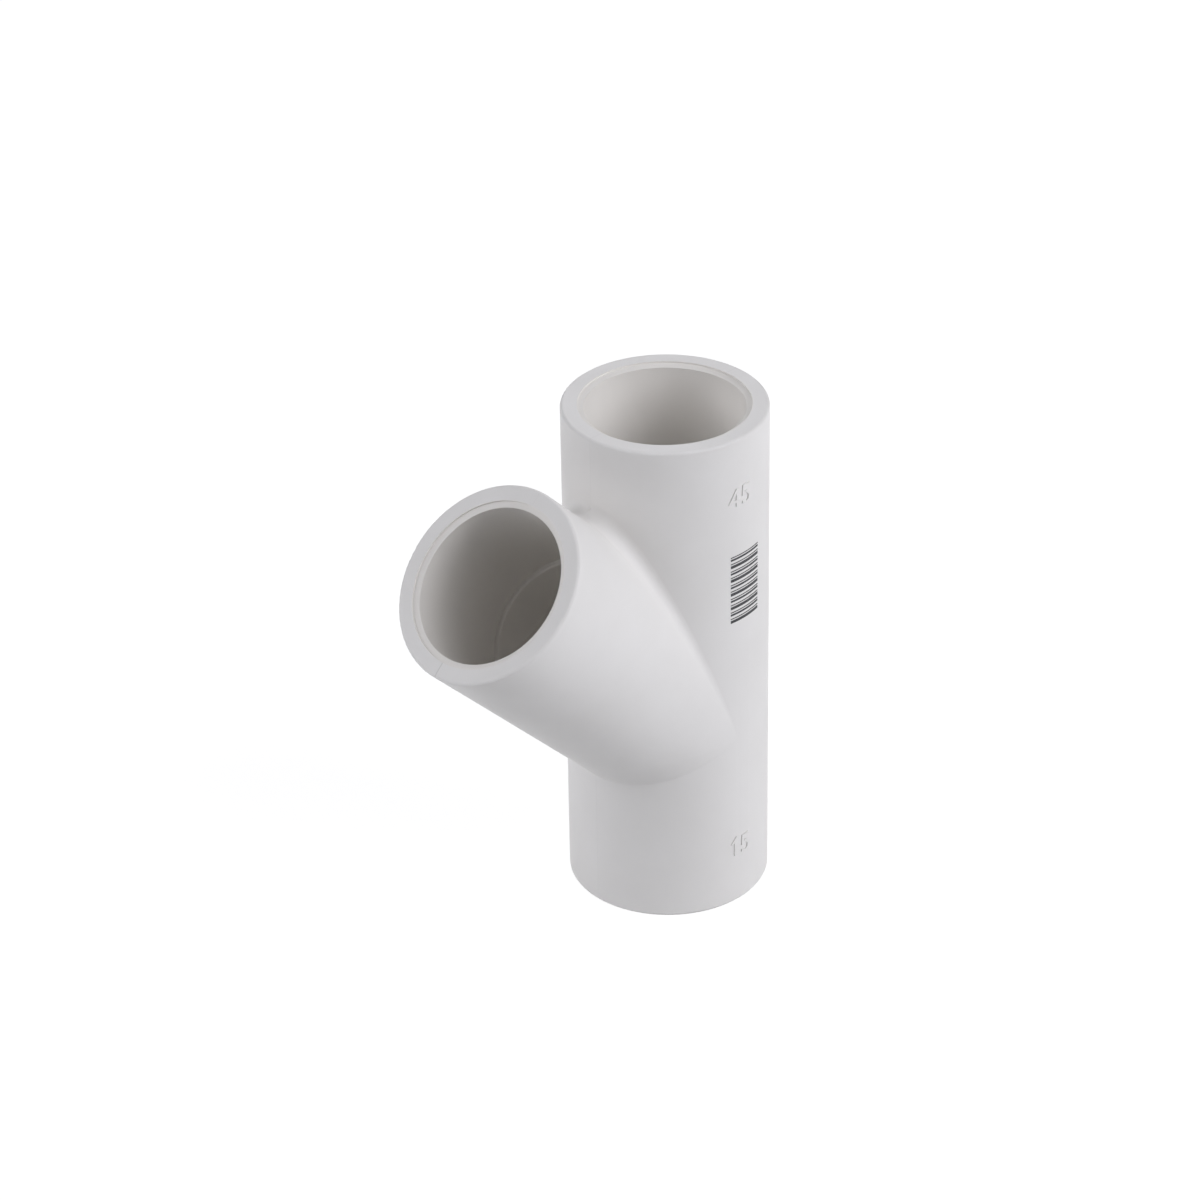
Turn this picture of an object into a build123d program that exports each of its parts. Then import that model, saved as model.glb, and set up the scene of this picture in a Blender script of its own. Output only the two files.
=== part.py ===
from build123d import *
import os

# Lateral wye fitting for solvent-welded plastic pipe, moulded in one piece: two sockets
# in line, the run, and a third on a branch that leaves the run at 45 degrees.
#
# Millimetres. The origin is the centre of the run's lower mouth, on its end face. +Z is
# the run's axis, and the branch leans from it towards +X, in the XZ plane.

# ---- Driving dimensions ----

# outside
hub_diameter = 27.6
run_length = 72.6
crossing_height = 26.3  # lower end face to where the branch's axis leaves the run's
branch_length = 45.9  # that crossing to the branch's end face
branch_angle = 45.0  # between the branch and the upper half of the run
end_rounding = 0.4  # outer edge of each end face
crotch_rounding = 1.6  # blend above the branch, between it and the run
heel_rounding = 0.4  # blend below the branch
branch_ease = 0.02  # the branch's radius falls this short of the run's, so that they cross cleanly

# sockets and waterway
socket_diameter = 21.54
socket_depth = 18.6  # end face to pipe stop
stop_width = 0.65  # ledge that the pipe's end meets, bevel included
stop_bevel = 0.2  # inner edge of that ledge
lead_in_width = 0.76  # bevel that guides the pipe in
lead_in_depth = 0.32
mouth_step = 0.25  # the bevel starts this far below the end face

# raised numerals on the run's +Y side: the branch angle above, the nominal bore below
numeral_height = 2.6
numeral_width = 1.5
numeral_pitch = 2.1
numeral_stroke = 0.36
numeral_relief = 0.15
angle_numeral_drop = 8.6  # upper end face to the middle of the numerals
bore_numeral_rise = 9.0  # lower end face to the middle of the numerals

# their strokes, in a cell that is one wide and one high
numeral_shapes = {
    "1": [[(0.2, 0.75), (0.6, 1), (0.6, 0)]],
    "4": [[(0.75, 1), (0, 0.3), (1, 0.3)], [(0.75, 1), (0.75, 0)]],
    "5": [[(0.9, 1), (0.15, 1), (0.1, 0.55), (0.55, 0.62), (0.9, 0.4), (0.85, 0.1), (0.5, 0), (0, 0.1)]],
}

# ---- Worked out from them ----

hub_radius = hub_diameter / 2
socket_radius = socket_diameter / 2
waterway_radius = socket_radius - stop_width
branch_axis = Vector(0, 0, 1).rotate(Axis.Y, branch_angle)
crossing = Vector(0, 0, crossing_height)

# each mouth is a plane on its end face, looking out along its hub
lower_mouth = Plane(origin=(0, 0, 0), z_dir=(0, 0, -1))
upper_mouth = Plane(origin=(0, 0, run_length), z_dir=(0, 0, 1))
branch_mouth = Plane(origin=crossing + branch_axis * branch_length, z_dir=branch_axis)
mouths = [lower_mouth, upper_mouth, branch_mouth]


def behind(mouth, radius, length):
    """A cylinder that starts on the mouth's end face and runs back into its hub."""
    ends_on_face = (Align.CENTER, Align.CENTER, Align.MAX)
    return mouth * Cylinder(radius, length, align=ends_on_face)


def crossing_edges(shape):
    """The edges along which two slanted cylinders meet, which are neither straight nor round."""
    plain = (GeomType.LINE, GeomType.CIRCLE)
    return shape.edges().filter_by(lambda edge: edge.geom_type not in plain)


# ---- Outside ----


def make_hubs():
    """Run and branch, blended more above the branch than below it."""
    run = behind(upper_mouth, hub_radius, run_length)
    branch = behind(branch_mouth, hub_radius - branch_ease, branch_length)
    hubs = run + branch
    hubs = fillet(hubs.edges().filter_by(GeomType.CIRCLE), end_rounding)
    meeting = crossing_edges(hubs)
    # both blends fade out at the crossing's sides, so the halves of two fittings join there
    reach = run_length + branch_length
    above = Plane(crossing) * Box(reach, reach, reach, align=(Align.CENTER, Align.CENTER, Align.MIN))
    return (fillet(meeting, crotch_rounding) & above) + (fillet(meeting, heel_rounding) - above)


# ---- Sockets and waterway ----


def flare(mouth, depth, radius, width, length):
    """A cone down inside a hub that widens towards its mouth, by width over length."""
    widest_on_top = (Align.CENTER, Align.CENTER, Align.MAX)
    return mouth * Pos(0, 0, -depth) * Cone(radius, radius + width, length, align=widest_on_top)


def socket(mouth):
    """The space that a pipe's end fills, with the step and bevels at its two ends."""
    step = behind(mouth, socket_radius + lead_in_width, mouth_step)
    lead_in = flare(mouth, mouth_step, socket_radius, lead_in_width, lead_in_depth)
    stop = flare(mouth, socket_depth, waterway_radius, stop_bevel, stop_bevel)
    return behind(mouth, socket_radius, socket_depth) + step + lead_in + stop


def make_waterway():
    """The two bores that run from mouth to mouth and meet inside."""
    run = behind(upper_mouth, waterway_radius, run_length)
    branch = behind(branch_mouth, waterway_radius, branch_length)
    return run + branch


# ---- Raised numerals ----


def stroke_line(points, corner):
    """One stroke of a numeral whose lower left corner is given as along and up."""
    along, up = corner
    return Polyline([(along + x * numeral_width, up + y * numeral_height) for x, y in points])


def raised_numerals(text, height_up):
    """Numerals that stand out of the run's +Y side, read from that side."""
    side = Plane(origin=(0, 0, height_up), x_dir=(-1, 0, 0), z_dir=(0, 1, 0))
    row_width = numeral_pitch * (len(text) - 1) + numeral_width
    numerals = Part()
    for place, numeral in enumerate(text):
        corner = (place * numeral_pitch - row_width / 2, -numeral_height / 2)
        for points in numeral_shapes[numeral]:
            stroke = trace(stroke_line(points, corner), numeral_stroke)
            numerals += extrude(side * stroke, amount=hub_radius + numeral_relief)
    skin = behind(upper_mouth, hub_radius + numeral_relief, run_length)
    core = behind(upper_mouth, hub_radius - numeral_relief, run_length)
    return numerals & (skin - core)


# ---- The fitting ----


def make_wye_body():
    body = make_hubs()
    body += raised_numerals("45", run_length - angle_numeral_drop)
    body += raised_numerals("15", bore_numeral_rise)
    body -= make_waterway()
    for mouth in mouths:
        body -= socket(mouth)
    return body


wye_body = make_wye_body()
wye_body.label = "wye_body"
os.makedirs("parts", exist_ok=True)
export_step(wye_body, "parts/wye_body.step")
print("volume", round(wye_body.volume, 1), "mm3")
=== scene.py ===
import math

import bpy
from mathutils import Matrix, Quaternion, Vector


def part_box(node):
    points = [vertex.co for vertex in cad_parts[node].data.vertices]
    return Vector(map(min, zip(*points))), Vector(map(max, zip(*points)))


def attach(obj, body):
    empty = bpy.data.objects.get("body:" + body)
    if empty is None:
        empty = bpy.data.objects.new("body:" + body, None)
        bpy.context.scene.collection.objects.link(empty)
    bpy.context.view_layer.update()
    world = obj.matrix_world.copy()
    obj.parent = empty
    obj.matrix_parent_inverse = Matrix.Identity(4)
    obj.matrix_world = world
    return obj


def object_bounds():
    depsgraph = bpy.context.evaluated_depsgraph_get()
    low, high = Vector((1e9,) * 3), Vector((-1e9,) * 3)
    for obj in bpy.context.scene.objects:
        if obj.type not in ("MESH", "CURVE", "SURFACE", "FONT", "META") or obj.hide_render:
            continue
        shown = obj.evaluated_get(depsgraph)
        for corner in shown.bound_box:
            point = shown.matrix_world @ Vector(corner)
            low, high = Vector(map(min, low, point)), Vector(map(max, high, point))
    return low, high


# The looks of a moulded white pipe wye. Metres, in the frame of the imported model: the run
# stands on its lower end at the origin, and the branch leans towards +X.

MM = 0.001

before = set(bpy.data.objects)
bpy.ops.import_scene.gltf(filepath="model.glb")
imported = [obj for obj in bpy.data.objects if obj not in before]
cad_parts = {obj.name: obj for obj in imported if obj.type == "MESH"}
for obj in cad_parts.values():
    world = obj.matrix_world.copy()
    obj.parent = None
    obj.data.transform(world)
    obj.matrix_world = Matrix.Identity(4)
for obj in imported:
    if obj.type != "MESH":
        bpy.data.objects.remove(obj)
cad_low, cad_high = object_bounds()

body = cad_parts["wye_body"]
body_low, body_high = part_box("wye_body")

HUB_RADIUS = -body_low.y

# ---- Camera ----

VIEW_AZIMUTH = 136.08
VIEW_ELEVATION = 31.10
VIEW_ROLL = -1.02
VIEW_DISTANCE = 577 * MM
AIM = Vector((4.30, -8.45, 40.64)) * MM
LENS = 127.58  # millimetres, on a sensor 36 wide


def toward(azimuth, elevation):
    """The direction from the fitting to what stands at that azimuth and elevation in degrees."""
    turn = math.radians(azimuth)
    rise = math.radians(elevation)
    return Vector((math.sin(turn) * math.cos(rise), -math.cos(turn) * math.cos(rise), math.sin(rise)))


def make_camera():
    data = bpy.data.cameras.new("camera")
    data.lens = LENS
    data.sensor_width = 36
    data.clip_start = 0.01
    data.clip_end = 20
    camera = bpy.data.objects.new("camera", data)
    bpy.context.collection.objects.link(camera)
    back = toward(VIEW_AZIMUTH, VIEW_ELEVATION)
    camera.location = AIM + back * VIEW_DISTANCE
    camera.rotation_mode = "QUATERNION"
    level = (-back).to_track_quat("-Z", "Y")
    camera.rotation_quaternion = level @ Quaternion((0, 0, 1), math.radians(VIEW_ROLL))
    bpy.context.scene.camera = camera


# ---- Materials ----


class Paint:
    """A new material and the few nodes that these finishes are made of."""

    def __init__(self, name):
        self.material = bpy.data.materials.new(name)
        self.material.use_nodes = True
        self.nodes = self.material.node_tree.nodes
        self.links = self.material.node_tree.links
        self.nodes.clear()
        self.out = self.add("OutputMaterial")
        self.place = self.add("TexCoord").outputs["Object"]

    def add(self, kind, **settings):
        node = self.nodes.new("ShaderNode" + kind)
        for setting, value in settings.items():
            setattr(node, setting, value)
        return node

    def link(self, source, target):
        self.links.new(source, target)

    def noise(self, scale, detail):
        """Noise of that many features a metre."""
        noise = self.add("TexNoise")
        noise.inputs["Scale"].default_value = scale
        noise.inputs["Detail"].default_value = detail
        self.link(self.place, noise.inputs["Vector"])
        return noise.outputs["Fac"]

    def spread(self, value, low, high, from_low=0.3, from_high=0.7):
        """A value brought into the range from low to high."""
        node = self.add("MapRange")
        self.link(value, node.inputs["Value"])
        node.inputs["From Min"].default_value = from_low
        node.inputs["From Max"].default_value = from_high
        node.inputs["To Min"].default_value = low
        node.inputs["To Max"].default_value = high
        return node.outputs["Result"]

    def calc(self, operation, first, second=None):
        node = self.add("Math", operation=operation)
        for socket, value in zip(node.inputs, (first, second)):
            if isinstance(value, (int, float)):
                socket.default_value = value
            elif value is not None:
                self.link(value, socket)
        return node.outputs["Value"]

    def blend(self, share, first, second):
        """One colour turned into another by share."""
        node = self.add("Mix", data_type="RGBA")
        self.link(share, node.inputs["Factor"])
        for socket, colour in ((node.inputs["A"], first), (node.inputs["B"], second)):
            if isinstance(colour, tuple):
                socket.default_value = (*colour, 1)
            else:
                self.link(colour, socket)
        return node.outputs["Result"]

    def bump(self, height, depth, under=None):
        """Relief of that many metres for a height that goes from 0 to 1."""
        node = self.add("Bump")
        node.inputs["Strength"].default_value = 1.0
        node.inputs["Distance"].default_value = depth
        self.link(height, node.inputs["Height"])
        if under is not None:
            self.link(under, node.inputs["Normal"])
        return node.outputs["Normal"]


PVC_WHITE = (0.815, 0.800, 0.780)
PVC_CLOUDED = (0.790, 0.774, 0.752)
PVC_BORE_SHADE = (0.815, 0.790, 0.752)  # painted warm shade in the bores, a little creamier and darker than the skin
PVC_ROUGHNESS = (0.42, 0.52)
PVC_SPECULAR = 0.2
SEAM_GREY = (0.50, 0.485, 0.465)

# features a metre, and how fine their detail goes
CLOUDS = (90, 4.0)
RIPPLES = (160, 2.0)
PITS = (2600, 2.0)
RIPPLE_DEPTH = 0.02 * MM
PIT_DEPTH = 0.004 * MM
SEAM_DEPTH = 0.03 * MM

RUN_LENGTH = body_high.z
CROSSING_HEIGHT = 26.3 * MM
BRANCH_LENGTH = 45.9 * MM
FACE_DEPTH = 0.1 * MM  # as deep as this below a mouth counts as its end face
BORE_RADIUS = 11.6 * MM  # past the bevels of the mouths
SEAM_HALF_WIDTH = 0.10 * MM
SEAM_ON_FACES = 0.16
SEAM_ON_BRANCH = 0.60  # on the lower half of the branch's end face
SEAM_ON_SIDES = 0.08


class WyePlaces:
    """Where a point of the fitting lies, worked out from its Object coordinates."""

    def __init__(self, paint):
        self.paint = paint
        split = paint.add("SeparateXYZ")
        paint.link(paint.place, split.inputs["Vector"])
        self.x = split.outputs["X"]
        self.y = split.outputs["Y"]
        self.z = split.outputs["Z"]
        # the branch leans at 45 degrees: aside is across it, and along is up its axis
        rise = paint.calc("SUBTRACT", self.z, CROSSING_HEIGHT)
        self.aside = paint.calc("MULTIPLY", paint.calc("SUBTRACT", self.x, rise), math.sqrt(0.5))
        self.along = paint.calc("MULTIPLY", paint.calc("ADD", self.x, rise), math.sqrt(0.5))

    def distance(self, first, second):
        """How far a point is from an axis, from its two offsets."""
        first_square = self.paint.calc("MULTIPLY", first, first)
        second_square = self.paint.calc("MULTIPLY", second, second)
        return self.paint.calc("SQRT", self.paint.calc("ADD", first_square, second_square))

    def inside(self):
        """1 in the bores, and 0 on the skin."""
        in_run = self.paint.calc("LESS_THAN", self.distance(self.x, self.y), BORE_RADIUS)
        in_branch = self.paint.calc("LESS_THAN", self.distance(self.aside, self.y), BORE_RADIUS)
        up_branch = self.paint.calc("GREATER_THAN", self.along, 0)
        in_branch = self.paint.calc("MULTIPLY", in_branch, up_branch)
        return self.paint.calc("MAXIMUM", in_run, in_branch)

    def end_faces(self):
        """1 on the run's two end faces."""
        top = self.paint.calc("GREATER_THAN", self.z, RUN_LENGTH - FACE_DEPTH)
        bottom = self.paint.calc("LESS_THAN", self.z, FACE_DEPTH)
        return self.paint.calc("MAXIMUM", top, bottom)

    def branch_face(self):
        """1 on the lower half of the branch's end face."""
        face = self.paint.calc("GREATER_THAN", self.along, BRANCH_LENGTH - FACE_DEPTH)
        return self.paint.calc("MULTIPLY", face, self.paint.calc("GREATER_THAN", self.aside, 0))


def white_pvc():
    """Satin white plastic, a little clouded, with the mould's parting line round the outside and a painted
    warm shade in the bores.
    """
    paint = Paint("white_pvc")
    clouds = paint.noise(*CLOUDS)
    pits = paint.noise(*PITS)
    ripples = paint.noise(*RIPPLES)

    places = WyePlaces(paint)
    from_seam = paint.calc("ABSOLUTE", places.y)
    line = paint.spread(from_seam, 1, 0, 0, SEAM_HALF_WIDTH)
    inside = places.inside()
    strength = paint.spread(places.end_faces(), SEAM_ON_SIDES, SEAM_ON_FACES, 0, 1)
    strength = paint.calc("MAXIMUM", strength, paint.spread(places.branch_face(), 0, SEAM_ON_BRANCH, 0, 1))
    seam = paint.calc("MULTIPLY", paint.calc("MULTIPLY", line, paint.calc("SUBTRACT", 1, inside)), strength)

    colour = paint.blend(paint.spread(clouds, 0, 1), PVC_WHITE, PVC_CLOUDED)
    # painted shade: the bores get a warmer, slightly darker colour
    colour = paint.blend(inside, colour, PVC_BORE_SHADE)
    colour = paint.blend(seam, colour, SEAM_GREY)

    relief = paint.bump(ripples, RIPPLE_DEPTH)
    relief = paint.bump(pits, PIT_DEPTH, relief)
    relief = paint.bump(seam, SEAM_DEPTH, relief)

    skin = paint.add("BsdfPrincipled")
    paint.link(colour, skin.inputs["Base Color"])
    paint.link(paint.spread(clouds, *PVC_ROUGHNESS), skin.inputs["Roughness"])
    skin.inputs["Specular IOR Level"].default_value = PVC_SPECULAR
    paint.link(relief, skin.inputs["Normal"])
    paint.link(skin.outputs["BSDF"], paint.out.inputs["Surface"])
    return paint.material


INK_THICK = (0.022, 0.022, 0.024)
INK_THIN = (0.060, 0.060, 0.062)
INK_COVER = (1500, 2.0)
INK_ROUGHNESS = (0.50, 0.62)


def black_ink():
    """Matt black ink that lets a little of the plastic through where it lies thin."""
    paint = Paint("printed_ink")
    cover = paint.noise(*INK_COVER)
    skin = paint.add("BsdfPrincipled")
    paint.link(paint.blend(paint.spread(cover, 0, 1), INK_THICK, INK_THIN), skin.inputs["Base Color"])
    paint.link(paint.spread(cover, *INK_ROUGHNESS), skin.inputs["Roughness"])
    paint.link(skin.outputs["BSDF"], paint.out.inputs["Surface"])
    return paint.material


def seen_direct(paint):
    """1 where the lens, a reflection or a see-through part looks, and 0 for the light itself."""
    path = paint.add("LightPath")
    mirrored = paint.calc("MAXIMUM", path.outputs["Is Camera Ray"], path.outputs["Is Glossy Ray"])
    return paint.calc("MAXIMUM", mirrored, path.outputs["Is Transmission Ray"])


FLOOR_COLOUR = (0.8, 0.8, 0.8, 1)
FLOOR_GLOW = 0.90
FLOOR_SHADE = (0.22, 0.22, 0.22, 1)  # what the lamps add to the glow, and a shadow takes away


def pale_floor():
    """A pale floor that looks white from the lens and still takes the fitting's shadow."""
    paint = Paint("pale_floor")
    plain = paint.add("BsdfDiffuse")
    plain.inputs["Color"].default_value = FLOOR_COLOUR
    shade = paint.add("BsdfDiffuse")
    shade.inputs["Color"].default_value = FLOOR_SHADE
    glow = paint.add("Emission")
    glow.inputs["Strength"].default_value = FLOOR_GLOW
    bright = paint.add("AddShader")
    paint.link(glow.outputs["Emission"], bright.inputs[0])
    paint.link(shade.outputs["BSDF"], bright.inputs[1])
    mix = paint.add("MixShader")
    paint.link(seen_direct(paint), mix.inputs["Fac"])
    paint.link(plain.outputs["BSDF"], mix.inputs[1])
    paint.link(bright.outputs["Shader"], mix.inputs[2])
    paint.link(mix.outputs["Shader"], paint.out.inputs["Surface"])
    return paint.material


# ---- Printed bars ----

BARS_MIDDLE = 94.4  # degrees round the run, from +X towards +Y
BARS_ARC = 22.4
BARS_LOW = 45.1 * MM
BAR_GROUPS = 5
BAR_HEIGHTS = (0.42 * MM, 0.14 * MM, 0.28 * MM, 0.14 * MM)
BAR_GAPS = (0.18 * MM, 0.38 * MM, 0.18 * MM, 0.38 * MM)  # above each of those bars
BAR_FACETS = 360  # round the whole run
INK_DEPTH = 0.06 * MM
INK_PROUD = 0.03 * MM


def deselect_all():
    bpy.ops.object.select_all(action="DESELECT")


def one_bar():
    """A strip of ink a millimetre high that lies round the run's side."""
    deselect_all()
    bpy.ops.mesh.primitive_cylinder_add(
        vertices=BAR_FACETS, radius=HUB_RADIUS + INK_PROUD, depth=1 * MM, end_fill_type="NOTHING")
    bar = bpy.context.object
    bpy.ops.object.mode_set(mode="EDIT")
    bpy.ops.mesh.select_mode(type="FACE")
    bpy.ops.mesh.select_all(action="DESELECT")
    bpy.ops.object.mode_set(mode="OBJECT")
    for face in bar.data.polygons:
        turn = math.degrees(math.atan2(face.center.y, face.center.x))
        face.select = abs(turn - BARS_MIDDLE) > BARS_ARC / 2
    bpy.ops.object.mode_set(mode="EDIT")
    bpy.ops.mesh.delete(type="FACE")
    bpy.ops.object.mode_set(mode="OBJECT")
    wall = bar.modifiers.new("wall", "SOLIDIFY")
    wall.thickness = INK_DEPTH
    wall.offset = -1
    bpy.ops.object.modifier_apply(modifier=wall.name)
    return bar


def copy_of(pattern):
    deselect_all()
    pattern.select_set(True)
    bpy.context.view_layer.objects.active = pattern
    bpy.ops.object.duplicate()
    return bpy.context.object


def make_bars():
    """Plain bars in equal groups, which stand for nothing."""
    pattern = one_bar()
    bars = []
    foot = BARS_LOW
    for height, gap in zip(BAR_HEIGHTS * BAR_GROUPS, BAR_GAPS * BAR_GROUPS):
        bar = copy_of(pattern)
        bar.scale.z = height / MM
        bar.location.z = foot + height / 2
        bars.append(bar)
        foot += height + gap
    deselect_all()
    pattern.select_set(True)
    bpy.ops.object.delete()
    for bar in bars:
        bar.select_set(True)
    bpy.context.view_layer.objects.active = bars[0]
    bpy.ops.object.transform_apply(location=True, rotation=True, scale=True)
    bpy.ops.object.join()
    printed = bpy.context.object
    printed.name = "printed_bars"
    printed.data.materials.append(black_ink())
    bpy.ops.object.shade_smooth_by_angle(angle=math.radians(30))
    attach(printed, "root")


# ---- Gate mark ----

GATE_MIDDLE = Vector((14.2, 0, 62.4)) * MM  # in the crotch above the branch, on the parting line
GATE_TILT = 51  # degrees from +Z towards +X
GATE_RADIUS = 0.28 * MM
GATE_DEPTH = 0.30 * MM  # half of it stands proud
GATE_ROUNDING = 0.10 * MM
GATE_FACETS = 48


def make_gate_mark(finish):
    """The small stub that is left where the plastic entered the mould."""
    deselect_all()
    bpy.ops.mesh.primitive_cylinder_add(
        vertices=GATE_FACETS, radius=GATE_RADIUS, depth=GATE_DEPTH, location=GATE_MIDDLE,
        rotation=(0, math.radians(GATE_TILT), 0))
    stub = bpy.context.object
    stub.name = "gate_mark"
    rim = stub.modifiers.new("rim", "BEVEL")
    rim.width = GATE_ROUNDING
    rim.segments = 4
    bpy.ops.object.modifier_apply(modifier=rim.name)
    bpy.ops.object.transform_apply(location=True, rotation=True, scale=True)
    stub.data.materials.append(finish)
    bpy.ops.object.shade_smooth_by_angle(angle=math.radians(40))
    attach(stub, "root")


# ---- Studio ----


FLOOR_SIDE = 1.6
FLOOR_GAP = 0.02 * MM


def make_floor():
    """A plain floor just under the run's lower end."""
    deselect_all()
    bpy.ops.mesh.primitive_plane_add(size=FLOOR_SIDE, location=(0, 0, cad_low.z - FLOOR_GAP))
    floor = bpy.context.object
    floor.name = "floor"
    floor.data.materials.append(pale_floor())


def softbox(azimuth, elevation, power):
    """A round soft lamp that faces the fitting."""
    data = bpy.data.lights.new("softbox", "AREA")
    data.shape = "DISK"
    data.size = LAMP_SIZE
    data.energy = power
    data.color = LAMP_COLOUR
    lamp = bpy.data.objects.new("softbox", data)
    bpy.context.collection.objects.link(lamp)
    away = toward(azimuth, elevation)
    lamp.location = AIM + away * LAMP_DISTANCE
    lamp.rotation_mode = "QUATERNION"
    lamp.rotation_quaternion = (-away).to_track_quat("-Z", "Y")


FILL = 0.02


def make_world():
    """White where it is seen, and a faint fill for the light."""
    world = bpy.data.worlds.new("studio")
    bpy.context.scene.world = world
    world.use_nodes = True
    nodes = world.node_tree.nodes
    links = world.node_tree.links
    nodes["Background"].inputs["Color"].default_value = (1, 1, 1, 1)
    path = nodes.new("ShaderNodeLightPath")
    strength = None
    for ray in ("Is Camera Ray", "Is Glossy Ray", "Is Transmission Ray"):
        larger = nodes.new("ShaderNodeMath")
        larger.operation = "MAXIMUM"
        larger.inputs[1].default_value = FILL
        links.new(path.outputs[ray], larger.inputs[0])
        if strength is not None:
            links.new(strength, larger.inputs[1])
        strength = larger.outputs["Value"]
    links.new(strength, nodes["Background"].inputs["Strength"])


LAMP_DISTANCE = 1.2
LAMP_SIZE = 0.6
LAMP_COLOUR = (0.942, 0.950, 1.000)

# azimuth, elevation, power
LAMPS = [
    (45, 25, 3.56),
    (70, 25, 1.57),
    (200, 25, 4.52),
    (225, 25, 1.90),
    (75, 40, 2.60),
    (180, 40, 1.59),
    (200, 40, 3.15),
    (316, 35, 2.00),
]

make_camera()
plastic = white_pvc()
body.data.materials.clear()
body.data.materials.append(plastic)
make_gate_mark(plastic)
make_bars()
make_floor()
make_world()
for lamp_azimuth, lamp_elevation, lamp_power in LAMPS:
    softbox(lamp_azimuth, lamp_elevation, lamp_power)

bpy.context.scene.view_settings.view_transform = "Standard"
